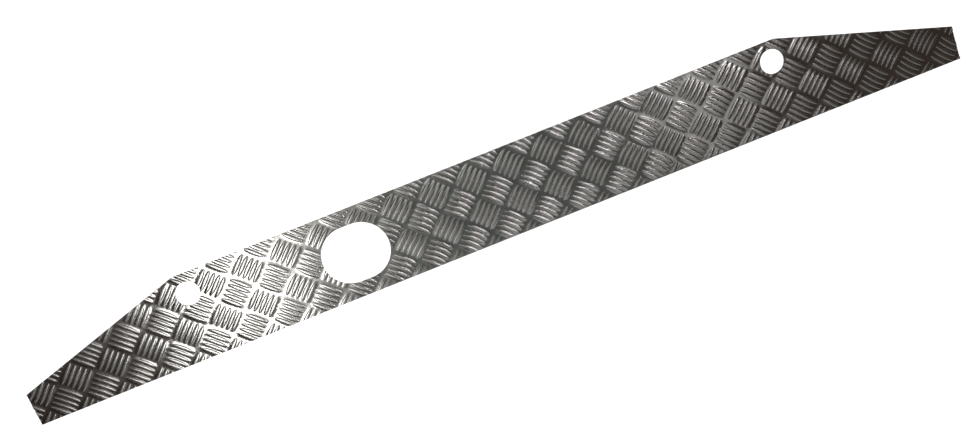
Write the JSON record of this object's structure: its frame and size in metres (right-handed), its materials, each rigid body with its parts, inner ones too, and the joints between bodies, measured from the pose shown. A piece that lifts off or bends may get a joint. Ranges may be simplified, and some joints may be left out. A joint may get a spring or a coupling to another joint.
{
  "type": "kick plate",
  "caption": "Long flat kick plate cut from five-bar tread sheet, tapered at both ends, with two round holes, a wide obround opening and foam tape strips on its back.",
  "frame": {"origin": "middle of the plate's length and width, on the plane of the tapes' sticky faces", "axes": "+X along the straight lower edge, +Y towards the edge with the tapered ends, +Z out of the tread face"},
  "size_m": [1.036, 0.094, 0.0035],
  "materials": {
    "tread_aluminium": "bright mill finish, rolled, with a fine grain and polished bars",
    "foam_tape": "matt closed-cell foam"
  },
  "bodies": {
    "root": {"tread_sheet": "tread_aluminium", "tape_lower": "foam_tape", "tape_upper": "foam_tape", "tape_left_taper": "foam_tape", "tape_right_taper": "foam_tape"}
  },
  "joints": []
}
